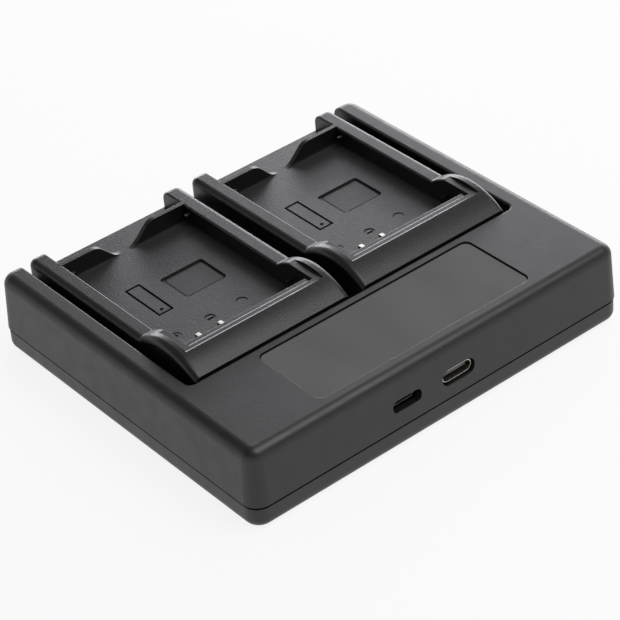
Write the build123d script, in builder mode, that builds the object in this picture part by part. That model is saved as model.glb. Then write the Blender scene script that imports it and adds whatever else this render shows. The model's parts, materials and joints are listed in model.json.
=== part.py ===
from build123d import *
from math import radians, sqrt, tan
import os

# Two-bay camera battery charger, in millimetres.
# Origin at the bottom centre, X along the socket face, -Y towards the sockets, +Z up.

# Battery plate, seen from above
plate_width = 45.8
plate_length = 66.6
plate_gap = 3.6
plate_side_gap = 2.05
plate_front_gap = 0.5
plate_back_inset = 1.15
tray_width = 36.4
tray_length = 48.4
tray_front_inset = 9.45
pocket_side_margin = 2.0
contact_wall = 1.7

# Battery plate, heights and curves
plate_floor = 2.0
tray_depth = 5.0
hump_rise = 3.55
hump_crest_inset = 11.6
hump_front_radius = 19.7
hump_back_radius = 15.3
hump_foot_radius = 0.8
pocket_drop = 0.9
pocket_rim = 0.15
pocket_rim_run = 0.45
strip_drop = 0.15
strip_run = 0.4
strip_round = 0.3
rail_round = 1.7
rail_end_round = 2.2
inner_round = 0.5

# Rear lips of the tray, scooped down to the floor in the middle
lip_wall = 1.2
scoop_floor_width = 5.6
scoop_slope_width = 5.0
scoop_radius = 4.0

# Guide nubs on the tray's side walls and the notch at the end of its front strip
nub_length = 0.8
nub_height = 0.7
nub_proud = 1.6
nub_drop = 1.4
nub_back_inset = 2.6
nub_front_inset = 6.4
corner_notch = 1.1

# Marks moulded into the tray floor, placed from the plate's front edge
groove_width = 0.45
groove_depth = 0.6
groove_field = (4.45, 13.95)
groove_place = (-8.18, 37.53)
label_field = (12.75, 10.3)
label_place = (4.73, 37.15)
label_corner = 0.8
label_depth = 0.5

# Housing
side_wall = 6.85
recess_corner = 1.6
rim_round = 0.6
window_width = 64.0
window_depth = 22.0
window_front_margin = 5.65
window_back_margin = 2.35
window_corner = 2.0
window_thickness = 1.05
window_drop = 0.35
window_gap = 0.2
window_ledge = 3.2
seam_height = 6.2
seam_gap = 0.5
seam_step = 0.2
wall = 2.0
wall_draft = 3.5
plan_corner = 4.2
top_round = 2.8
bottom_round = 2.35
rim_height = 1.6
rim_wall = 1.0
fit = 0.2

# Levels from the floor of the cover up
floor_wall = 2.0
post_height = 6.4
board_thickness = 1.6
board_room = 2.9
recess_wall = 1.6
recess_depth = 6.5

# Screws and the bosses that take them
boss_inset = 6.2
boss_diameter = 6.4
boss_rise = 2.0
case_screw_diameter = 2.4
case_screw_grip = 4.3
case_head_diameter = 4.6
case_head_height = 1.8
case_head_depth = 3.4
small_screw_diameter = 2.0
small_screw_grip = 4.5
small_head_diameter = 4.0
small_head_height = 1.3
screw_clearance = 0.4
pilot_clearance = 0.1
post_diameter = 5.0
plate_screw_inset = 40.0

# Circuit board and display
board_width = 90.0
board_depth = 54.0
board_edge_gap = 0.9
board_post_inset = 4.0
board_post_front = 11.0
lcd_thickness = 1.6
lcd_overlap = 1.2
backlight_thickness = 3.0
backlight_inset = 1.6
backlight_leg = 2.0
pin_count = 10
pin_pitch = 2.54
pin_size = 0.5

# Sockets
usb_c_x = 4.1
usb_c_width = 8.94
usb_c_height = 3.26
usb_c_length = 7.3
usb_c_sheet = 0.25
usb_c_tongue_width = 6.7
usb_c_tongue_height = 0.7
usb_c_opening_gap = 0.5
micro_x = -11.5
micro_width = 7.4
micro_height = 2.45
micro_length = 5.6
micro_sheet = 0.25
micro_bevel = 0.8
micro_tongue_width = 5.2
micro_tongue_height = 0.5
micro_tongue_rise = 0.1
micro_foot_width = 1.2
micro_foot_length = 2.4
micro_opening_width = 8.6
micro_opening_height = 3.25
micro_opening_corner = 1.4
micro_opening_rise = 1.95
usb_c_setback = 0.7
micro_setback = 2.0
tongue_setback = 0.9

# Contacts
contact_places = (-11.65, -5.15)
contact_width = 1.05
contact_sheet = 0.35
contact_reach = 4.5
contact_drop = 0.4
contact_leg_gap = 1.0
contact_bend = 0.9
contact_clearance = 0.25
hollow_length = 3.6
hollow_side = 2.0
hollow_roof = 2.0

# Components on the board, placed from its front edge
charge_ic_size = (5.0, 4.0, 1.6)
charge_ic_place = (24.0, 46.0)
controller_size = (7.0, 7.0, 1.2)
controller_place = (0.0, 46.0)
inductor_size = (6.0, 6.0, 2.4)
inductor_corner = 1.2
inductor_place = (33.0, 44.0)
capacitor_diameter = 6.3
capacitor_height = 5.4
capacitor_base = 1.2
capacitor_corner = 1.0
capacitor_place = (37.0, 22.0)

# Overall size and plan positions that follow
case_width = 2 * (plate_width + plate_side_gap + side_wall) + plate_gap
front_deck = window_front_margin + window_depth + window_back_margin
case_depth = front_deck + plate_front_gap + plate_length + plate_back_inset
case_front = -case_depth / 2
recess_width = 2 * (plate_width + plate_side_gap) + plate_gap
recess_front = case_front + front_deck
plate_front = recess_front + plate_front_gap
plate_back = plate_front + plate_length
plate_centre = (plate_width + plate_gap) / 2
tray_front = plate_front + tray_front_inset
tray_back = tray_front + tray_length
pocket_width = tray_width + 2 * pocket_side_margin
rail_centre = (plate_width + tray_width) / 4
rail_width = (plate_width - tray_width) / 2
plate_corner_round = min(rail_end_round, rail_width - 2 * inner_round)
rail_edge_round = min(rail_round, plate_corner_round - inner_round)
window_y = case_front + window_front_margin + window_depth / 2
aperture_width = window_width - 2 * window_ledge
aperture_depth = window_depth - 2 * window_ledge
board_front = case_front + wall + board_edge_gap
board_y = board_front + board_depth / 2

# Levels that follow
board_under = floor_wall + post_height
board_top = board_under + board_thickness
recess_under = board_top + board_room
recess_floor = recess_under + recess_wall
case_height = recess_floor + recess_depth
tray_floor = recess_floor + plate_floor
rail_top = tray_floor + tray_depth
crest_top = rail_top + hump_rise
pocket_floor = crest_top - pocket_drop
deck_under = case_height - wall
window_under = case_height - window_drop - window_thickness
boss_joint = seam_height + boss_rise
contact_top = rail_top - contact_drop
lcd_under = deck_under - lcd_thickness
backlight_under = lcd_under - backlight_thickness

# Points and lines that several pieces share
sides = {"left": -1, "right": 1}
boss_x = case_width / 2 - boss_inset
boss_y = case_depth / 2 - boss_inset
boss_points = [(x, y) for x in (-boss_x, boss_x) for y in (-boss_y, boss_y)]
post_x = board_width / 2 - board_post_inset
post_rows = (board_front + board_post_front, board_front + board_depth - board_post_inset)
post_points = [(x, y) for x in (-post_x, post_x) for y in post_rows]
plate_screw_y = plate_front + plate_screw_inset
contact_leg_y = tray_front - contact_wall - contact_leg_gap
usb_c_z = board_top + usb_c_height / 2
micro_z = board_top + micro_opening_rise
socket_wall = case_front + (usb_c_z - seam_height) * tan(radians(wall_draft))
usb_c_front = socket_wall + usb_c_setback
micro_front = socket_wall + micro_setback
lcd_width = aperture_width + 2 * lcd_overlap
lcd_depth = aperture_depth + 2 * lcd_overlap
level = 0.01


def plate_screw_points(side):
    return [(side * plate_centre + rail * rail_centre, plate_screw_y) for rail in (-1, 1)]


def contact_points(side):
    return [(side * plate_centre + place, contact_leg_y) for place in contact_places]


def write(piece, name):
    piece.label = name
    export_step(piece, f"parts/{name}.step")


os.makedirs("parts", exist_ok=True)

# Upper shell: drafted box with a rounded top edge, hollow below the deck and the plate recess
with BuildPart() as upper_shell:
    with BuildSketch(Plane.XY.offset(seam_height)):
        RectangleRounded(case_width, case_depth, plan_corner)
    extrude(amount=case_height - seam_height, taper=wall_draft)
    fillet(upper_shell.faces().sort_by(Axis.Z)[-1].edges(), top_round)
    with BuildSketch(Plane.XY.offset(seam_height)):
        RectangleRounded(case_width - 2 * wall, case_depth - 2 * wall, plan_corner - wall)
    extrude(amount=deck_under - seam_height, taper=wall_draft, mode=Mode.SUBTRACT)

    # Bosses for the case screws
    with BuildSketch(Plane.XY.offset(boss_joint)):
        with Locations(*boss_points):
            Circle(boss_diameter / 2)
    extrude(amount=deck_under - boss_joint)

    # Block behind the deck, and in it the recess for the plates, open at the back
    tub_front = recess_front - recess_wall
    tub_back = case_depth / 2 - wall
    with BuildSketch(Plane.XY.offset(recess_under)):
        with Locations((0, (tub_front + tub_back) / 2)):
            Rectangle(case_width - 2 * wall, tub_back - tub_front)
    extrude(amount=deck_under - recess_under)
    with BuildSketch(Plane.XY.offset(recess_floor)) as recess:
        with Locations((0, recess_front)):
            Rectangle(recess_width, case_depth, align=(Align.CENTER, Align.MIN))
        fillet(recess.vertices().group_by(Axis.Y)[0], recess_corner)
    extrude(amount=recess_depth, mode=Mode.SUBTRACT)
    rim = upper_shell.edges().filter_by_position(Axis.Z, case_height - level, case_height + level)
    front_rim = rim.filter_by_position(Axis.Y, recess_front - level, recess_front + level)
    left_rim = rim.filter_by_position(Axis.X, -recess_width / 2 - level, -recess_width / 2 + level)
    right_rim = rim.filter_by_position(Axis.X, recess_width / 2 - level, recess_width / 2 + level)
    fillet(front_rim + left_rim + right_rim, rim_round)

    # Window seat with a see-through opening inside its ledge
    with BuildSketch(Plane.XY.offset(window_under)):
        with Locations((0, window_y)):
            RectangleRounded(window_width + 2 * window_gap, window_depth + 2 * window_gap, window_corner)
    extrude(amount=case_height - window_under, mode=Mode.SUBTRACT)
    with BuildSketch(Plane.XY.offset(deck_under)):
        with Locations((0, window_y)):
            Rectangle(aperture_width, aperture_depth)
    extrude(amount=wall, mode=Mode.SUBTRACT)

    # Socket openings in the front wall
    with BuildSketch(Plane.XZ.offset(-case_front)):
        with Locations((usb_c_x, usb_c_z)):
            SlotOverall(usb_c_width + 2 * usb_c_opening_gap, usb_c_height + 2 * usb_c_opening_gap)
        with Locations((micro_x, micro_z)):
            RectangleRounded(micro_opening_width, micro_opening_height, micro_opening_corner)
    extrude(amount=-(wall + board_edge_gap), mode=Mode.SUBTRACT)

    # Pilot holes of the case screws
    with BuildSketch(Plane.XY.offset(boss_joint)):
        with Locations(*boss_points):
            Circle((case_screw_diameter + pilot_clearance) / 2)
    extrude(amount=case_screw_grip + screw_clearance, mode=Mode.SUBTRACT)

    # Holes for the plate screws and slots for the contact legs in the recess floor
    with BuildSketch(Plane.XY.offset(recess_under)):
        with Locations(*plate_screw_points(-1), *plate_screw_points(1)):
            Circle((small_screw_diameter + screw_clearance) / 2)
        with Locations(*contact_points(-1), *contact_points(1)):
            Rectangle(contact_width + 2 * contact_clearance, contact_sheet + 2 * contact_clearance)
    extrude(amount=recess_wall, mode=Mode.SUBTRACT)
write(upper_shell.part, "upper_shell")

# Lower cover: rounded pan with a rim that locates inside the shell, screw bosses and board posts
with BuildPart() as lower_cover:
    with BuildSketch():
        RectangleRounded(
            case_width - 2 * seam_step, case_depth - 2 * seam_step, plan_corner - seam_step
        )
    extrude(amount=seam_height - seam_gap)
    fillet(lower_cover.faces().sort_by(Axis.Z)[0].edges(), bottom_round)
    rim_inset = wall + fit
    with BuildSketch(Plane.XY.offset(floor_wall)):
        RectangleRounded(
            case_width - 2 * rim_inset, case_depth - 2 * rim_inset, plan_corner - rim_inset
        )
    extrude(amount=seam_height + rim_height - floor_wall)
    pan_inset = rim_inset + rim_wall
    with BuildSketch(Plane.XY.offset(floor_wall)):
        RectangleRounded(
            case_width - 2 * pan_inset, case_depth - 2 * pan_inset, plan_corner - pan_inset
        )
    extrude(amount=seam_height + rim_height - floor_wall, mode=Mode.SUBTRACT)
    with BuildSketch():
        with Locations(*boss_points):
            Circle(boss_diameter / 2)
    extrude(amount=boss_joint)
    with BuildSketch(Plane.XY.offset(floor_wall)):
        with Locations(*post_points):
            Circle(post_diameter / 2)
    extrude(amount=post_height)
    with BuildSketch():
        with Locations(*boss_points):
            Circle((case_screw_diameter + screw_clearance) / 2)
    extrude(amount=boss_joint, mode=Mode.SUBTRACT)
    with BuildSketch():
        with Locations(*boss_points):
            Circle((case_head_diameter + screw_clearance) / 2)
    extrude(amount=case_head_depth, mode=Mode.SUBTRACT)
    with BuildSketch(Plane.XY.offset(board_under)):
        with Locations(*post_points):
            Circle((small_screw_diameter + pilot_clearance) / 2)
    extrude(amount=-(small_screw_grip + screw_clearance), mode=Mode.SUBTRACT)
write(lower_cover.part, "lower_cover")

# Side outline of a plate: front edge, arched hump, rail top and the rounded end of the rail
crest_y = plate_front + hump_crest_inset
front_edge_top = crest_top - hump_front_radius + sqrt(hump_front_radius**2 - hump_crest_inset**2)
pocket_edge_drop = pocket_drop - pocket_rim
pocket_edge = crest_y - sqrt(hump_front_radius**2 - (hump_front_radius - pocket_edge_drop) ** 2)
hump_back = crest_y + sqrt(hump_back_radius**2 - (hump_back_radius - hump_rise) ** 2)


def battery_plate(side):
    middle = side * plate_centre
    with BuildPart() as plate:
        with BuildSketch(Plane.YZ.offset(middle)):
            with BuildLine():
                RadiusArc((plate_front, front_edge_top), (crest_y, crest_top), hump_front_radius)
                RadiusArc((crest_y, crest_top), (hump_back, rail_top), hump_back_radius)
                Line((hump_back, rail_top), (plate_back - rail_end_round, rail_top))
                RadiusArc(
                    (plate_back - rail_end_round, rail_top),
                    (plate_back, rail_top - rail_end_round),
                    rail_end_round,
                )
                Polyline(
                    (plate_back, rail_top - rail_end_round),
                    (plate_back, recess_floor),
                    (plate_front, recess_floor),
                    (plate_front, front_edge_top),
                )
            make_face()
        extrude(amount=plate_width / 2, both=True)
        across = plate.edges().filter_by(Axis.X)
        hump_foot = across.filter_by_position(Axis.Y, hump_back - level, hump_back + level)
        fillet(hump_foot, hump_foot_radius)

        # Rounded back corners, then rounded outer edges over the hump and along the rails
        with BuildSketch(Plane.XY.offset(recess_floor)) as plan:
            with Locations((middle, plate_front)):
                Rectangle(plate_width, plate_length, align=(Align.CENTER, Align.MIN))
            fillet(plan.vertices().group_by(Axis.Y)[-1], plate_corner_round)
        extrude(amount=crest_top - recess_floor, mode=Mode.INTERSECT)
        for edge in (-plate_width / 2, plate_width / 2):
            outer = plate.edges().filter_by_position(Axis.X, middle + edge - level, middle + edge + level)
            fillet(outer.filter_by_position(Axis.Z, front_edge_top, crest_top), rail_edge_round)

        # Tray between the rails with rounded inner edges, open at the back until the lips close it
        with BuildSketch(Plane.XY.offset(tray_floor)):
            with Locations((middle, tray_front)):
                Rectangle(tray_width, plate_length, align=(Align.CENTER, Align.MIN))
        extrude(amount=crest_top - tray_floor, mode=Mode.SUBTRACT)
        for edge in (-tray_width / 2, tray_width / 2):
            inner = plate.edges().filter_by_position(Axis.X, middle + edge - level, middle + edge + level)
            fillet(inner.filter_by_position(Axis.Z, rail_top - level, crest_top), inner_round)
        lip_end = tray_width / 2 + inner_round
        with BuildSketch(Plane.XZ.offset(-tray_back)):
            for hand in (-1, 1):
                with BuildLine():
                    FilletPolyline(
                        (middle + hand * lip_end, rail_top),
                        (middle + hand * (scoop_floor_width / 2 + scoop_slope_width), rail_top),
                        (middle + hand * scoop_floor_width / 2, tray_floor),
                        (middle, tray_floor),
                        radius=scoop_radius,
                    )
                    Polyline(
                        (middle, tray_floor),
                        (middle, recess_floor),
                        (middle + hand * lip_end, recess_floor),
                        (middle + hand * lip_end, rail_top),
                    )
                make_face()
        extrude(amount=-lip_wall)

        # Pocket cut across the hump, with a low sloped rim at its front edge
        with BuildSketch(Plane.YZ.offset(middle)):
            Polygon(
                (pocket_edge - pocket_rim_run, pocket_floor + 2 * pocket_rim),
                (pocket_edge + pocket_rim_run, pocket_floor),
                (hump_back, pocket_floor),
                (hump_back, crest_top),
                (pocket_edge - pocket_rim_run, crest_top),
                align=None,
            )
        extrude(amount=pocket_width / 2, both=True, mode=Mode.SUBTRACT)

        # Lower strip beside the tray, down a small slope, with a rounded edge and a notch at one end
        strip_front = tray_front - contact_wall
        with BuildSketch(Plane.YZ.offset(middle)):
            Polygon(
                (strip_front - strip_run, pocket_floor + strip_drop),
                (strip_front + strip_run, pocket_floor - strip_drop),
                (tray_front, pocket_floor - strip_drop),
                (tray_front, pocket_floor + strip_drop),
                align=None,
            )
        extrude(amount=tray_width / 2, both=True, mode=Mode.SUBTRACT)
        across = plate.edges().filter_by(Axis.X)
        tray_edge = across.filter_by_position(Axis.Y, tray_front - level, tray_front + level)
        fillet(tray_edge.sort_by(Axis.Z)[-1], strip_round)
        with BuildSketch(Plane.XY.offset(tray_floor)):
            with Locations((middle + tray_width / 2, tray_front)):
                Rectangle(corner_notch, contact_wall, align=(Align.MAX, Align.MAX))
        extrude(amount=crest_top - tray_floor, mode=Mode.SUBTRACT)

        # Guide nubs on the side walls
        nub_rows = (tray_back - nub_back_inset, tray_front + nub_front_inset)
        with BuildSketch(Plane.XY.offset(rail_top - nub_drop - nub_height)):
            with Locations(*[(middle + hand * tray_width / 2, y) for hand in (-1, 1) for y in nub_rows]):
                Rectangle(2 * nub_proud, nub_length)
        extrude(amount=nub_height)

        # Hollow under the hump for the contact legs, slots for the blades, screw pilots in the rails
        with BuildSketch(Plane.XY.offset(recess_floor)):
            with Locations((middle, tray_front - contact_wall)):
                Rectangle(tray_width - 2 * hollow_side, hollow_length, align=(Align.CENTER, Align.MAX))
        extrude(amount=pocket_floor - hollow_roof - recess_floor, mode=Mode.SUBTRACT)
        with BuildSketch(Plane.XY.offset(contact_top + contact_clearance)):
            with Locations(*[(middle + place, tray_front) for place in contact_places]):
                Rectangle(
                    contact_width + 2 * contact_clearance, contact_wall, align=(Align.CENTER, Align.MAX)
                )
        extrude(amount=-(contact_sheet + 2 * contact_clearance), mode=Mode.SUBTRACT)
        with BuildSketch(Plane.XY.offset(recess_floor)):
            with Locations(*plate_screw_points(side)):
                Circle((small_screw_diameter + pilot_clearance) / 2)
        extrude(amount=small_screw_grip + screw_clearance - recess_wall, mode=Mode.SUBTRACT)

        # Long groove and label field in the tray floor
        with BuildSketch(Plane.XY.offset(tray_floor)):
            with Locations((middle + groove_place[0], plate_front + groove_place[1])):
                Rectangle(*groove_field)
                Rectangle(
                    groove_field[0] - 2 * groove_width,
                    groove_field[1] - 2 * groove_width,
                    mode=Mode.SUBTRACT,
                )
        extrude(amount=-groove_depth, mode=Mode.SUBTRACT)
        with BuildSketch(Plane.XY.offset(tray_floor)):
            with Locations((middle + label_place[0], plate_front + label_place[1])):
                RectangleRounded(*label_field, label_corner)
        extrude(amount=-label_depth, mode=Mode.SUBTRACT)
    return plate.part


for name, side in sides.items():
    write(battery_plate(side), f"{name}_battery_plate")


# Contact: a bent blade that reaches into the tray, with a leg down to the board
def contact(side, place):
    leg_back = contact_leg_y + contact_sheet / 2
    leg_front = contact_leg_y - contact_sheet / 2
    tip = tray_front + contact_reach
    with BuildPart() as blade:
        with BuildSketch(Plane.YZ.offset(side * plate_centre + place)):
            with BuildLine():
                FilletPolyline(
                    (leg_front, board_top),
                    (leg_front, contact_top),
                    (tip, contact_top),
                    (tip, contact_top - contact_bend),
                    radius=contact_sheet,
                )
                Polyline(
                    (tip, contact_top - contact_bend),
                    (tip - contact_sheet, contact_top - contact_bend),
                    (tip - contact_sheet, contact_top - contact_sheet),
                    (leg_back, contact_top - contact_sheet),
                    (leg_back, board_top),
                    (leg_front, board_top),
                )
            make_face()
        extrude(amount=contact_width / 2, both=True)
    return blade.part


for name, side in sides.items():
    for letter, place in zip("ab", contact_places):
        write(contact(side, place), f"{name}_contact_{letter}")

# Smoked window, set a little below the deck
with BuildPart() as display_window:
    with BuildSketch(Plane.XY.offset(window_under)):
        with Locations((0, window_y)):
            RectangleRounded(window_width, window_depth, window_corner - window_gap)
    extrude(amount=window_thickness)
write(display_window.part, "display_window")

# Display glass against the underside of the window's ledge
with BuildPart() as lcd_glass:
    with BuildSketch(Plane.XY.offset(lcd_under)):
        with Locations((0, window_y)):
            Rectangle(lcd_width, lcd_depth)
    extrude(amount=lcd_thickness)
write(lcd_glass.part, "lcd_glass")

# Backlight under the glass, standing on the board on four legs
backlight_width = lcd_width - 2 * backlight_inset
backlight_depth = lcd_depth - 2 * backlight_inset
with BuildPart() as backlight_holder:
    with BuildSketch(Plane.XY.offset(backlight_under)):
        with Locations((0, window_y)):
            Rectangle(backlight_width, backlight_depth)
    extrude(amount=backlight_thickness)
    with BuildSketch(Plane.XY.offset(board_top)):
        with Locations((0, window_y)):
            with GridLocations(backlight_width - backlight_leg, backlight_depth - backlight_leg, 2, 2):
                Rectangle(backlight_leg, backlight_leg)
    extrude(amount=backlight_under - board_top)
write(backlight_holder.part, "backlight_holder")

# Row of pins from the back edge of the glass down to the board
with BuildPart() as lcd_pins:
    with BuildSketch(Plane.XY.offset(board_top)):
        with Locations((0, window_y + lcd_depth / 2 - backlight_inset / 2)):
            with GridLocations(pin_pitch, pin_size, pin_count, 1):
                Rectangle(pin_size, pin_size)
    extrude(amount=lcd_under - board_top)
write(lcd_pins.part, "lcd_pins")

# Circuit board on the cover's posts
with BuildPart() as main_board:
    with BuildSketch(Plane.XY.offset(board_under)):
        with Locations((0, board_y)):
            Rectangle(board_width, board_depth)
        with Locations(*post_points):
            Circle((small_screw_diameter + screw_clearance) / 2, mode=Mode.SUBTRACT)
    extrude(amount=board_thickness)
write(main_board.part, "main_board")

# Round two-ended socket: a folded metal shell closed at the back, with a flat tongue inside
with BuildPart() as usb_c_shell:
    with BuildSketch(Plane.XZ.offset(-usb_c_front)):
        with Locations((usb_c_x, usb_c_z)):
            SlotOverall(usb_c_width, usb_c_height)
    extrude(amount=-usb_c_length)
    with BuildSketch(Plane.XZ.offset(-usb_c_front)):
        with Locations((usb_c_x, usb_c_z)):
            SlotOverall(usb_c_width - 2 * usb_c_sheet, usb_c_height - 2 * usb_c_sheet)
    extrude(amount=-(usb_c_length - usb_c_sheet), mode=Mode.SUBTRACT)
write(usb_c_shell.part, "usb_c_shell")

with BuildPart() as usb_c_tongue:
    with BuildSketch(Plane.XZ.offset(-(usb_c_front + tongue_setback))):
        with Locations((usb_c_x, usb_c_z)):
            Rectangle(usb_c_tongue_width, usb_c_tongue_height)
    extrude(amount=-(usb_c_length - usb_c_sheet - tongue_setback))
write(usb_c_tongue.part, "usb_c_tongue")


# Five-sided socket outline: square on top, bevelled below
def micro_outline(inset):
    half = micro_width / 2 - inset
    top = micro_height / 2 - inset
    right = [(half, top), (half, micro_bevel - top), (half - micro_bevel, -top)]
    return right + [(-x, z) for x, z in reversed(right)]


with BuildPart() as micro_usb_shell:
    with BuildSketch(Plane.XZ.offset(-micro_front)):
        with Locations((micro_x, micro_z)):
            Polygon(*micro_outline(0), align=None)
    extrude(amount=-micro_length)
    with BuildSketch(Plane.XZ.offset(-micro_front)):
        with Locations((micro_x, micro_z)):
            Polygon(*micro_outline(micro_sheet), align=None)
    extrude(amount=-(micro_length - micro_sheet), mode=Mode.SUBTRACT)
    with BuildSketch(Plane.XY.offset(board_top)):
        with Locations((micro_x, micro_front + micro_length - micro_foot_length / 2)):
            with GridLocations(micro_width - 2 * micro_bevel - micro_foot_width, micro_foot_length, 2, 1):
                Rectangle(micro_foot_width, micro_foot_length)
    extrude(amount=micro_z - micro_height / 2 - board_top)
write(micro_usb_shell.part, "micro_usb_shell")

with BuildPart() as micro_usb_tongue:
    with BuildSketch(Plane.XZ.offset(-(micro_front + tongue_setback))):
        with Locations((micro_x, micro_z + micro_tongue_rise)):
            Rectangle(micro_tongue_width, micro_tongue_height)
    extrude(amount=-(micro_length - micro_sheet - tongue_setback))
write(micro_usb_tongue.part, "micro_usb_tongue")

# Chips, inductors and capacitors on the board
for name, side in sides.items():
    with BuildPart() as charge_ic:
        with BuildSketch(Plane.XY.offset(board_top)):
            with Locations((side * charge_ic_place[0], board_front + charge_ic_place[1])):
                Rectangle(charge_ic_size[0], charge_ic_size[1])
        extrude(amount=charge_ic_size[2])
    write(charge_ic.part, f"{name}_charge_ic")

    with BuildPart() as inductor:
        with BuildSketch(Plane.XY.offset(board_top)):
            with Locations((side * inductor_place[0], board_front + inductor_place[1])):
                RectangleRounded(inductor_size[0], inductor_size[1], inductor_corner)
        extrude(amount=inductor_size[2])
    write(inductor.part, f"{name}_inductor")

    with BuildPart() as capacitor:
        with BuildSketch(Plane.XY.offset(board_top)):
            with Locations((side * capacitor_place[0], board_front + capacitor_place[1])):
                RectangleRounded(capacitor_diameter, capacitor_diameter, capacitor_corner)
        extrude(amount=capacitor_base)
        with BuildSketch(Plane.XY.offset(board_top + capacitor_base)):
            with Locations((side * capacitor_place[0], board_front + capacitor_place[1])):
                Circle(capacitor_diameter / 2)
        extrude(amount=capacitor_height - capacitor_base)
    write(capacitor.part, f"{name}_capacitor")

with BuildPart() as controller_ic:
    with BuildSketch(Plane.XY.offset(board_top)):
        with Locations((controller_place[0], board_front + controller_place[1])):
            Rectangle(controller_size[0], controller_size[1])
    extrude(amount=controller_size[2])
write(controller_ic.part, "controller_ic")


# Screws: a round head and a plain shank, several alike in one group
def screws(points, seat, shank_diameter, shank_length, head_diameter, head_height):
    with BuildPart() as group:
        with BuildSketch(Plane.XY.offset(seat)):
            with Locations(*points):
                Circle(head_diameter / 2)
        extrude(amount=-head_height if shank_length > 0 else head_height)
        with BuildSketch(Plane.XY.offset(seat)):
            with Locations(*points):
                Circle(shank_diameter / 2)
        extrude(amount=shank_length)
    return group.part


case_shank = boss_joint - case_head_depth + case_screw_grip
write(
    screws(
        boss_points, case_head_depth, case_screw_diameter, case_shank, case_head_diameter, case_head_height
    ),
    "case_screws",
)
board_shank = board_thickness + small_screw_grip
write(
    screws(
        post_points, board_top, small_screw_diameter, -board_shank, small_head_diameter, small_head_height
    ),
    "board_screws",
)
for name, side in sides.items():
    write(
        screws(
            plate_screw_points(side),
            recess_under,
            small_screw_diameter,
            small_screw_grip,
            small_head_diameter,
            small_head_height,
        ),
        f"{name}_plate_screws",
    )
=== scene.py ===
import json
import math

import bmesh
import bpy
from mathutils import Matrix, Vector


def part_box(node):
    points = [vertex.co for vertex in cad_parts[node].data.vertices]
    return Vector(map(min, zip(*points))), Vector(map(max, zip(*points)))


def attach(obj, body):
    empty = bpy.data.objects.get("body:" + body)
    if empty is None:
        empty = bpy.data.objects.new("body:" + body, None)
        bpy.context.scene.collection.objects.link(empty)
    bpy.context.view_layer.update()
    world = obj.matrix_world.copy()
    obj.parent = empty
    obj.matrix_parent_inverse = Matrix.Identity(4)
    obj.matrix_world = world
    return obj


MM = 0.001
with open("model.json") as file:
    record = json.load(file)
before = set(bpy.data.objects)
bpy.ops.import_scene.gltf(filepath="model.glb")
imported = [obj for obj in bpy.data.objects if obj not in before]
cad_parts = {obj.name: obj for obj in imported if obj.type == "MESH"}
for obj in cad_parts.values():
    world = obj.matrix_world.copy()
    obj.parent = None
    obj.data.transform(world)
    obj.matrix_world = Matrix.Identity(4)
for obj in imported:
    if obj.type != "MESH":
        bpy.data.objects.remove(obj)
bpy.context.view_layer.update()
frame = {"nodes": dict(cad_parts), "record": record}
nodes = frame["nodes"]

# Levels that the finishes and the marks follow
SEAM_GAP = 0.5 * MM
LABEL_DEPTH = 0.5 * MM
mounts = {mount["name"]: mount for mount in frame["record"]["mounts"]}
tray_floor = mounts["left_battery_bay"]["pos_m"][2]
label_floor = tray_floor - LABEL_DEPTH
seam_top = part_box("upper_shell")[0].z
seam_bottom = seam_top - SEAM_GAP

# Scales of the main noise patterns, per metre
CLOUD = 90
SMEAR = 260
FINE_GRAIN = 2600
COARSE_GRAIN = 1500
STREAKS = 900

# Noise lies mostly between these two values
NOISE_LOW = 0.3
NOISE_HIGH = 0.7

# Strength and depth of bumps, and the usual rounding of edges
GRAIN_STRENGTH = 0.6
POLISH_STRENGTH = 0.3
POLISH_DEPTH = 0.01 * MM
PLASTIC_EDGE = 0.10 * MM
METAL_EDGE = 0.08 * MM
BEVEL_SAMPLES = 8


# Material helpers
def new_material(name):
    material = bpy.data.materials.new(name)
    material.use_nodes = True
    tree = material.node_tree
    tree.nodes.clear()
    output = tree.nodes.new("ShaderNodeOutputMaterial")
    shader = tree.nodes.new("ShaderNodeBsdfPrincipled")
    tree.links.new(shader.outputs["BSDF"], output.inputs["Surface"])
    coordinates = tree.nodes.new("ShaderNodeTexCoord")
    return material, tree, shader, coordinates.outputs["Object"]


def height_of(tree, where):
    node = tree.nodes.new("ShaderNodeSeparateXYZ")
    tree.links.new(where, node.inputs["Vector"])
    return node.outputs["Z"]


# The pattern lies closer along an axis with a larger squeeze
def noise(tree, where, scale, detail, squeeze=None):
    if squeeze:
        mapping = tree.nodes.new("ShaderNodeMapping")
        mapping.inputs["Scale"].default_value = squeeze
        tree.links.new(where, mapping.inputs["Vector"])
        where = mapping.outputs["Vector"]
    node = tree.nodes.new("ShaderNodeTexNoise")
    node.inputs["Scale"].default_value = scale
    node.inputs["Detail"].default_value = detail
    node.inputs["Roughness"].default_value = 0.55
    tree.links.new(where, node.inputs["Vector"])
    return node.outputs["Fac"]


def spread(tree, value, low, high, from_low=NOISE_LOW, from_high=NOISE_HIGH):
    node = tree.nodes.new("ShaderNodeMapRange")
    node.inputs["From Min"].default_value = from_low
    node.inputs["From Max"].default_value = from_high
    node.inputs["To Min"].default_value = low
    node.inputs["To Max"].default_value = high
    tree.links.new(value, node.inputs["Value"])
    return node.outputs["Result"]


def combine(tree, operation, first, second):
    node = tree.nodes.new("ShaderNodeMath")
    node.operation = operation
    tree.links.new(first, node.inputs[0])
    tree.links.new(second, node.inputs[1])
    return node.outputs["Value"]


# A new ramp has two stops, and further ones are added
def ramp(tree, value, stops):
    node = tree.nodes.new("ShaderNodeValToRGB")
    elements = node.color_ramp.elements
    for element, (position, colour) in zip(elements, stops):
        element.position = position
        element.color = (*colour, 1)
    for position, colour in stops[2:]:
        elements.new(position).color = (*colour, 1)
    tree.links.new(value, node.inputs["Fac"])
    return node.outputs["Color"]


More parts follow.
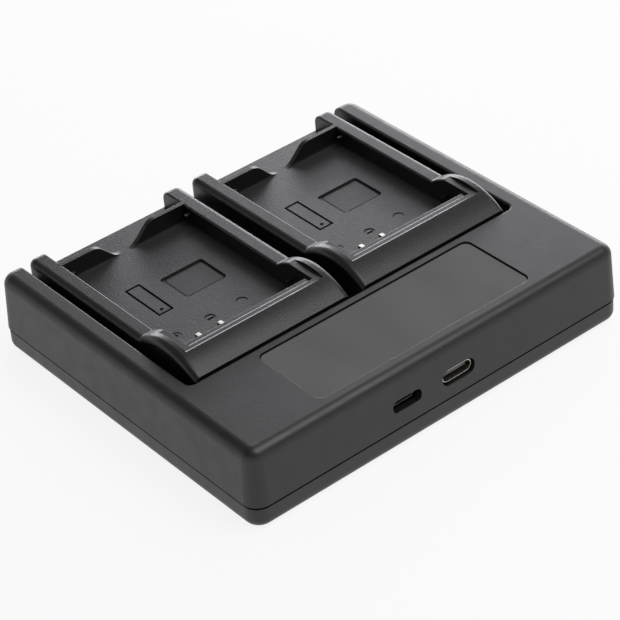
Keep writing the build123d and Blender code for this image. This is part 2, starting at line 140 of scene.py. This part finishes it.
def two_tone(tree, value, dark, light):
    return ramp(tree, value, [(NOISE_LOW, dark), (NOISE_HIGH, light)])


def bump(tree, shader, height, depth, strength, rounding=0.0, target="Normal"):
    node = tree.nodes.new("ShaderNodeBump")
    node.inputs["Strength"].default_value = strength
    node.inputs["Distance"].default_value = depth
    tree.links.new(height, node.inputs["Height"])
    if rounding:
        bevel = tree.nodes.new("ShaderNodeBevel")
        bevel.samples = BEVEL_SAMPLES
        bevel.inputs["Radius"].default_value = rounding
        tree.links.new(bevel.outputs["Normal"], node.inputs["Normal"])
    tree.links.new(node.outputs["Normal"], shader.inputs[target])


def moulded(name, dark, light, roughness, grain, depth, rounding=PLASTIC_EDGE):
    material, tree, shader, where = new_material(name)
    colour = two_tone(tree, noise(tree, where, CLOUD, detail=4), dark, light)
    smear = spread(tree, noise(tree, where, SMEAR, detail=5), *roughness)
    tree.links.new(colour, shader.inputs["Base Color"])
    tree.links.new(smear, shader.inputs["Roughness"])
    bump(tree, shader, noise(tree, where, grain, detail=2), depth, GRAIN_STRENGTH, rounding)
    return material


def metal(name, dark, light, roughness, squeeze, rounding=METAL_EDGE):
    material, tree, shader, where = new_material(name)
    shader.inputs["Metallic"].default_value = 1.0
    streaks = noise(tree, where, STREAKS, detail=4, squeeze=squeeze)
    tree.links.new(ramp(tree, streaks, [(0.25, dark), (0.75, light)]), shader.inputs["Base Color"])
    tree.links.new(spread(tree, streaks, *roughness), shader.inputs["Roughness"])
    bump(tree, shader, streaks, POLISH_DEPTH, POLISH_STRENGTH, rounding)
    return material


# Case: satin plastic, with deep shade in the gap between its two shells
def case_plastic():
    black = (0.0006, 0.0006, 0.0007)
    dark = (0.0050, 0.0050, 0.0056)
    light = (0.0070, 0.0070, 0.0078)
    satin = 0.56
    shaded = 0.05
    fade = 0.15 * MM
    material, tree, shader, where = new_material("case_plastic")
    height = height_of(tree, where)
    under_lid = spread(tree, height, 1.0, 0.0, seam_top, seam_top + fade)
    over_base = spread(tree, height, 0.0, 1.0, seam_bottom - fade, seam_bottom)
    in_seam = combine(tree, "MULTIPLY", under_lid, over_base)
    cloud = combine(tree, "SUBTRACT", noise(tree, where, CLOUD, detail=4), in_seam)
    colour = ramp(tree, cloud, [(0.0, black), (NOISE_LOW, dark), (NOISE_HIGH, light)])
    smear = spread(tree, noise(tree, where, SMEAR, detail=5), 0.38, 0.46)
    shine = spread(tree, in_seam, satin, shaded, 0.0, 1.0)
    tree.links.new(colour, shader.inputs["Base Color"])
    tree.links.new(smear, shader.inputs["Roughness"])
    tree.links.new(shine, shader.inputs["Specular IOR Level"])
    grain = noise(tree, where, FINE_GRAIN, detail=2)
    bump(tree, shader, grain, 0.05 * MM, GRAIN_STRENGTH, rounding=0.25 * MM)
    return material


# Battery plates: finely grained plastic, with a coarser and slightly lighter grain on the tray floors
def plate_plastic():
    dark = (0.0052, 0.0052, 0.0058)
    light = (0.029, 0.029, 0.031)
    label_share = 0.35
    grain_depth = 0.09 * MM
    material, tree, shader, where = new_material("plate_plastic")
    height = height_of(tree, where)
    below_rails = spread(tree, height, 1.0, 0.0, tray_floor + 0.2 * MM, tray_floor + 0.6 * MM)
    above_label = spread(tree, height, label_share, 1.0, tray_floor - 0.4 * MM, tray_floor - 0.1 * MM)
    on_floor = combine(tree, "MULTIPLY", below_rails, above_label)
    cloud = spread(tree, noise(tree, where, CLOUD, detail=4), -0.12, 0.12)
    shade = combine(tree, "ADD", cloud, on_floor)
    smear = spread(tree, noise(tree, where, SMEAR, detail=5), 0.40, 0.48)
    tree.links.new(ramp(tree, shade, [(0.0, dark), (1.0, light)]), shader.inputs["Base Color"])
    tree.links.new(smear, shader.inputs["Roughness"])
    shader.inputs["Specular IOR Level"].default_value = 0.22
    shader.inputs["Coat Weight"].default_value = 0.42
    shader.inputs["Coat Roughness"].default_value = 0.25
    coarse = combine(tree, "MULTIPLY", noise(tree, where, COARSE_GRAIN, detail=2), on_floor)
    grain = combine(tree, "ADD", noise(tree, where, FINE_GRAIN, detail=2), coarse)
    bump(tree, shader, grain, grain_depth, GRAIN_STRENGTH, rounding=0.15 * MM)
    bump(tree, shader, grain, grain_depth, GRAIN_STRENGTH, target="Coat Normal")
    return material


# Smoked window: polished sheet with faint wiping marks and an uneven tint
def window_plastic():
    dark = (0.012, 0.0115, 0.0090)
    light = (0.036, 0.0345, 0.0270)
    material, tree, shader, where = new_material("window_plastic")
    tint = noise(tree, where, scale=60, detail=1, squeeze=(1.0, 0.6, 1.0))
    wiping = spread(tree, noise(tree, where, scale=300, detail=2), 0.13, 0.17)
    tree.links.new(two_tone(tree, tint, dark, light), shader.inputs["Base Color"])
    tree.links.new(wiping, shader.inputs["Roughness"])
    shader.inputs["Specular IOR Level"].default_value = 0.42
    ripple = noise(tree, where, scale=700, detail=3)
    bump(tree, shader, ripple, POLISH_DEPTH, POLISH_STRENGTH, rounding=0.20 * MM)
    return material


# Display cell behind the window
def display_glass():
    dark = (0.30, 0.33, 0.29)
    light = (0.40, 0.43, 0.38)
    material, tree, shader, where = new_material("display_glass")
    tint = noise(tree, where, scale=120, detail=3)
    smear = spread(tree, noise(tree, where, scale=400, detail=4), 0.10, 0.20)
    tree.links.new(two_tone(tree, tint, dark, light), shader.inputs["Base Color"])
    tree.links.new(smear, shader.inputs["Roughness"])
    shader.inputs["Transmission Weight"].default_value = 0.4
    bump(tree, shader, noise(tree, where, scale=900, detail=2), POLISH_DEPTH, strength=0.2)
    return material


# Finishes, one for each slot of the record
finishes = {}
finishes["case_plastic"] = case_plastic()
finishes["plate_plastic"] = plate_plastic()
finishes["window_plastic"] = window_plastic()
finishes["display_glass"] = display_glass()
finishes["socket_plastic"] = moulded(
    "socket_plastic",
    dark=(0.012, 0.012, 0.013),
    light=(0.020, 0.020, 0.021),
    roughness=(0.35, 0.45),
    grain=6000,
    depth=0.02 * MM,
)
finishes["chip_plastic"] = moulded(
    "chip_plastic",
    dark=(0.010, 0.010, 0.010),
    light=(0.018, 0.018, 0.018),
    roughness=(0.45, 0.60),
    grain=7000,
    depth=0.02 * MM,
)
finishes["backlight_plastic"] = moulded(
    "backlight_plastic",
    dark=(0.74, 0.74, 0.71),
    light=(0.82, 0.82, 0.80),
    roughness=(0.45, 0.55),
    grain=5000,
    depth=0.02 * MM,
)
finishes["board"] = moulded(
    "board",
    dark=(0.004, 0.014, 0.008),
    light=(0.006, 0.020, 0.011),
    roughness=(0.30, 0.40),
    grain=2500,
    depth=0.03 * MM,
)
finishes["ferrite"] = moulded(
    "ferrite",
    dark=(0.035, 0.035, 0.037),
    light=(0.065, 0.065, 0.068),
    roughness=(0.50, 0.65),
    grain=4500,
    depth=0.06 * MM,
    rounding=0.15 * MM,
)
finishes["contact_metal"] = metal(
    "contact_metal",
    dark=(0.50, 0.485, 0.44),
    light=(0.64, 0.625, 0.575),
    roughness=(0.28, 0.40),
    squeeze=(1, 8, 8),
)
finishes["socket_metal"] = metal(
    "socket_metal",
    dark=(0.42, 0.40, 0.35),
    light=(0.60, 0.57, 0.50),
    roughness=(0.26, 0.40),
    squeeze=(8, 1, 8),
)
finishes["capacitor_can"] = metal(
    "capacitor_can",
    dark=(0.66, 0.66, 0.67),
    light=(0.80, 0.80, 0.81),
    roughness=(0.25, 0.38),
    squeeze=(1, 1, 6),
    rounding=0.10 * MM,
)
finishes["screw_steel"] = metal(
    "screw_steel",
    dark=(0.45, 0.45, 0.46),
    light=(0.62, 0.62, 0.63),
    roughness=(0.26, 0.42),
    squeeze=(4, 4, 1),
    rounding=0.10 * MM,
)

for entry in frame["record"]["subparts"]:
    materials = nodes[entry["node"]].data.materials
    materials.clear()
    materials.append(finishes[entry["material_slot"]])

# Narrow socket: its shell sits deep in shadow, and its darker colour is painted shade; it is also
# duller than the wide one's
nodes["micro_usb_shell"].data.materials[0] = metal(
    "shaded_dull_socket_metal",
    dark=(0.30, 0.30, 0.29),
    light=(0.42, 0.42, 0.40),
    roughness=(0.35, 0.50),
    squeeze=(8, 1, 8),
)

# Wide socket: its tongue is grey, as its rows of contacts make it look
nodes["usb_c_tongue"].data.materials[0] = moulded(
    "tongue_plastic",
    dark=(0.10, 0.10, 0.10),
    light=(0.17, 0.17, 0.17),
    roughness=(0.35, 0.45),
    grain=6000,
    depth=0.02 * MM,
)

# Engraved marks on the tray floors, drawn as painted shade: hair-thin dark pieces, half sunk in the
# floor, that reflect little
MARK_RISE = 0.02 * MM
engraving_shade = moulded(
    "engraving_shade_mark",
    dark=(0.0010, 0.0010, 0.0011),
    light=(0.0022, 0.0022, 0.0024),
    roughness=(0.70, 0.80),
    grain=5000,
    depth=0.03 * MM,
    rounding=0.0,
)
engraving_shade.node_tree.nodes["Principled BSDF"].inputs["Specular IOR Level"].default_value = 0.06

# Round marks: an arc is the shaded side of an engraved ring, and is widest in its middle
RING_STEPS = 48
ARC_MIDDLE = math.radians(58)
ARC_SPAN = math.radians(195)
ARC_TAPER = 0.8

# Places of the marks, from the middle of a plate's front edge
PLUS_PLACE = Vector((-12.2, 21.55, 0)) * MM
MINUS_PLACE = Vector((-2.2, 21.55, 0)) * MM
MINUS_BAR_PLACE = Vector((-2.35, 21.2, 0)) * MM
PLAIN_PLACE = Vector((7.3, 21.55, 0)) * MM
GROOVE_PLACE = Vector((-8.18, 37.53, 0)) * MM
GATE_PLACE = Vector((-8.3, 32.4, 0)) * MM
LABEL_PLACE = Vector((5.1, 37.15, 0)) * MM
LABEL_EDGE_PLACE = Vector((5.1, 31.92, 0)) * MM


# Mesh helpers for the marks
def direction(angle):
    return Vector((math.cos(angle), math.sin(angle), 0))


def circle(centre, radius):
    return [centre + direction(math.tau * i / RING_STEPS) * radius for i in range(RING_STEPS)]


def rounded_loop(centre, width, length, radius):
    quarter = RING_STEPS // 4
    loop = []
    for turn, (x_side, y_side) in enumerate([(1, 1), (-1, 1), (-1, -1), (1, -1)]):
        corner = centre + Vector((x_side * (width / 2 - radius), y_side * (length / 2 - radius), 0))
        for i in range(quarter + 1):
            loop.append(corner + direction((turn + i / quarter) * math.tau / 4) * radius)
    return loop


def add_row(data, inside, outside, level):
    low = Vector((0, 0, level - MARK_RISE))
    high = Vector((0, 0, level + MARK_RISE))
    corners = (inside + low, outside + low, outside + high, inside + high)
    return [data.verts.new(corner) for corner in corners]


def join_rows(data, row, after):
    for k in range(len(row)):
        beside = (k + 1) % len(row)
        data.faces.new((row[k], row[beside], after[beside], after[k]))


def add_band(data, inner_loop, outer_loop, level):
    rows = [add_row(data, inside, outside, level) for inside, outside in zip(inner_loop, outer_loop)]
    for row, after in zip(rows, rows[1:] + rows[:1]):
        join_rows(data, row, after)


def add_arc(data, centre, radius, stroke, level):
    rows = []
    for i in range(RING_STEPS + 1):
        turn = (i / RING_STEPS - 0.5) * ARC_SPAN
        way = direction(ARC_MIDDLE + turn)
        inner_radius = radius - stroke * math.cos(turn * ARC_TAPER)
        rows.append(add_row(data, centre + way * inner_radius, centre + way * radius, level))
    for row, after in zip(rows, rows[1:]):
        join_rows(data, row, after)
    data.faces.new(rows[0])
    data.faces.new(rows[-1])


def add_prism(data, centre, outline, level):
    rows = []
    for height in (level - MARK_RISE, level + MARK_RISE):
        rows.append([data.verts.new(centre + Vector((x, y, height))) for x, y in outline])
    data.faces.new(rows[0])
    data.faces.new(rows[1])
    join_rows(data, rows[0], rows[1])


def add_bar(data, centre, length, width, level):
    x = length / 2
    y = width / 2
    add_prism(data, centre, [(-x, -y), (x, -y), (x, y), (-x, y)], level)


def add_cross(data, centre, length, width, level):
    far = length / 2
    near = width / 2
    outline = []
    for x, y in [(1, 0), (0, 1), (-1, 0), (0, -1)]:
        for along, across in [(far, -near), (far, near), (near, near)]:
            outline.append((x * along - y * across, y * along + x * across))
    add_prism(data, centre, outline, level)


# One function for each kind of mark
def plus_ring(data, front):
    centre = front + PLUS_PLACE
    add_arc(data, centre, radius=1.35 * MM, stroke=0.45 * MM, level=tray_floor)
    add_cross(data, centre, length=1.2 * MM, width=0.3 * MM, level=tray_floor)


def minus_ring(data, front):
    add_arc(data, front + MINUS_PLACE, radius=1.42 * MM, stroke=0.6 * MM, level=tray_floor)
    add_bar(data, front + MINUS_BAR_PLACE, length=1.8 * MM, width=0.6 * MM, level=tray_floor)


def plain_ring(data, front):
    add_arc(data, front + PLAIN_PLACE, radius=1.45 * MM, stroke=0.5 * MM, level=tray_floor)


# Painted shade: a dark band that stands for the shade in the groove
def groove_shade(data, front):
    width = 3.55 * MM
    length = 13.05 * MM
    stroke = 0.15 * MM
    corner = 0.05 * MM
    centre = front + GROOVE_PLACE
    outer = rounded_loop(centre, width, length, corner)
    inner = rounded_loop(centre, width - 2 * stroke, length - 2 * stroke, corner)
    add_band(data, inner, outer, tray_floor)


def gate_dot(data, front):
    centre = front + GATE_PLACE
    inner = circle(centre, radius=0.05 * MM)
    outer = circle(centre, radius=0.5 * MM)
    add_band(data, inner, outer, tray_floor)


# Painted shade: dark bands that stand for the shade at the label recess's edges
def label_recess_shade(data, front):
    width = 11.4 * MM
    length = 9.7 * MM
    stroke = 0.2 * MM
    corner = 0.8 * MM
    centre = front + LABEL_PLACE
    outer = rounded_loop(centre, width, length, corner)
    inner = rounded_loop(centre, width - 2 * stroke, length - 2 * stroke, corner - stroke)
    add_band(data, inner, outer, label_floor)
    add_bar(data, front + LABEL_EDGE_PLACE, length=11.2 * MM, width=0.16 * MM, level=tray_floor)


def add_mark(name, build, front):
    data = bmesh.new()
    build(data, front)
    bmesh.ops.recalc_face_normals(data, faces=data.faces)
    mesh = bpy.data.meshes.new(name)
    data.to_mesh(mesh)
    data.free()
    mesh.materials.append(engraving_shade)
    piece = bpy.data.objects.new(name, mesh)
    bpy.context.scene.collection.objects.link(piece)
    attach(piece, "root")


for side in ("left", "right"):
    plate_low, plate_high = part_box(f"{side}_battery_plate")
    plate_front = Vector(((plate_low.x + plate_high.x) / 2, plate_low.y, 0))
    add_mark(f"{side}_plus_ring", plus_ring, plate_front)
    add_mark(f"{side}_minus_ring", minus_ring, plate_front)
    add_mark(f"{side}_plain_ring", plain_ring, plate_front)
    add_mark(f"{side}_groove_shade", groove_shade, plate_front)
    add_mark(f"{side}_gate_dot", gate_dot, plate_front)
    add_mark(f"{side}_label_recess_shade", label_recess_shade, plate_front)

# White floor and low round backdrop: white to the eye and in reflections, paper to the lamps
PAPER = (0.88, 0.88, 0.88, 1)
WHITE = (1, 1, 1, 1)
WHITE_SHARE = 0.87
STAGE_RADIUS = 2.5
STAGE_LEVEL = -0.05 * MM
WALL_TOP = 0.9
WALL_STEPS = 64


def white_paper(name):
    material = bpy.data.materials.new(name)
    material.use_nodes = True
    tree = material.node_tree
    tree.nodes.clear()
    output = tree.nodes.new("ShaderNodeOutputMaterial")
    paper = tree.nodes.new("ShaderNodeBsdfDiffuse")
    paper.inputs["Color"].default_value = PAPER
    white = tree.nodes.new("ShaderNodeEmission")
    white.inputs["Color"].default_value = WHITE
    white.inputs["Strength"].default_value = 1.0
    path = tree.nodes.new("ShaderNodeLightPath")
    seen = combine(tree, "MAXIMUM", path.outputs["Is Camera Ray"], path.outputs["Is Glossy Ray"])
    seen = combine(tree, "MAXIMUM", seen, path.outputs["Is Transmission Ray"])
    blend = tree.nodes.new("ShaderNodeMixShader")
    tree.links.new(spread(tree, seen, 0.0, WHITE_SHARE, 0.0, 1.0), blend.inputs["Fac"])
    tree.links.new(paper.outputs["BSDF"], blend.inputs[1])
    tree.links.new(white.outputs["Emission"], blend.inputs[2])
    tree.links.new(blend.outputs["Shader"], output.inputs["Surface"])
    return material


def stage_ring(level):
    turns = [math.tau * i / WALL_STEPS for i in range(WALL_STEPS)]
    return [(math.cos(t) * STAGE_RADIUS, math.sin(t) * STAGE_RADIUS, level) for t in turns]


def add_stage(name, points, faces, material):
    mesh = bpy.data.meshes.new(name)
    mesh.from_pydata(points, [], faces)
    mesh.materials.append(material)
    piece = bpy.data.objects.new(name, mesh)
    bpy.context.scene.collection.objects.link(piece)


studio_paper = white_paper("studio_paper")
floor_ring = stage_ring(STAGE_LEVEL)
wall_faces = []
for i in range(WALL_STEPS):
    beside = (i + 1) % WALL_STEPS
    wall_faces.append((i, beside, WALL_STEPS + beside, WALL_STEPS + i))
add_stage("floor", floor_ring, [tuple(range(WALL_STEPS))], studio_paper)
add_stage("backdrop", floor_ring + stage_ring(WALL_TOP), wall_faces, studio_paper)

# Even light from all round
world = bpy.data.worlds.new("studio")
bpy.context.scene.world = world
world.use_nodes = True
surroundings = world.node_tree.nodes["Background"]
surroundings.inputs["Color"].default_value = WHITE
surroundings.inputs["Strength"].default_value = 0.25

# Softboxes: two cool ones behind the object on the right, and a plain one above
COOL_LIGHT = (0.97, 0.95, 1.0)
PLAIN_LIGHT = (1.0, 1.0, 1.0)


def softbox(name, place, aim, width, height, power, colour):
    data = bpy.data.lights.new(name, "AREA")
    data.shape = "RECTANGLE"
    data.size = width
    data.size_y = height
    data.energy = power
    data.color = colour
    lamp = bpy.data.objects.new(name, data)
    lamp.location = place
    lamp.rotation_euler = (Vector(aim) - Vector(place)).to_track_quat("-Z", "Y").to_euler()
    lamp.visible_camera = False
    bpy.context.scene.collection.objects.link(lamp)


softbox(
    "back_right_softbox",
    place=(0.30, 0.285, 0.29),
    aim=(0.0, 0.0, 0.02),
    width=0.30,
    height=0.28,
    power=0.40,
    colour=COOL_LIGHT,
)
softbox(
    "low_back_softbox",
    place=(0.44, 0.42, 0.11),
    aim=(0.0, 0.0, 0.03),
    width=0.80,
    height=0.20,
    power=2.6,
    colour=COOL_LIGHT,
)
softbox(
    "top_softbox",
    place=(0.16, -0.22, 0.55),
    aim=(0.0, 0.0, 0.0),
    width=0.40,
    height=0.40,
    power=2.0,
    colour=PLAIN_LIGHT,
)

# Camera at the photograph's viewing angle, with its lens and sensor in millimetres
CAMERA_LENS = 141.966
CAMERA_SENSOR = 36
CAMERA_PLACE = Vector((-0.286092, -0.380156, 0.353412))
CAMERA_RIGHT = Vector((0.765166, -0.640029, -0.069893))
CAMERA_UP = Vector((0.422499, 0.417240, 0.804615))
camera_data = bpy.data.cameras.new("camera")
camera_data.sensor_width = CAMERA_SENSOR
camera_data.lens = CAMERA_LENS
camera_data.clip_start = 0.01
camera = bpy.data.objects.new("camera", camera_data)
camera_axes = Matrix((CAMERA_RIGHT, CAMERA_UP, CAMERA_RIGHT.cross(CAMERA_UP))).transposed()
camera.matrix_world = Matrix.Translation(CAMERA_PLACE) @ camera_axes.to_4x4()
bpy.context.scene.collection.objects.link(camera)
bpy.context.scene.camera = camera

bpy.context.scene.view_settings.view_transform = "Standard"
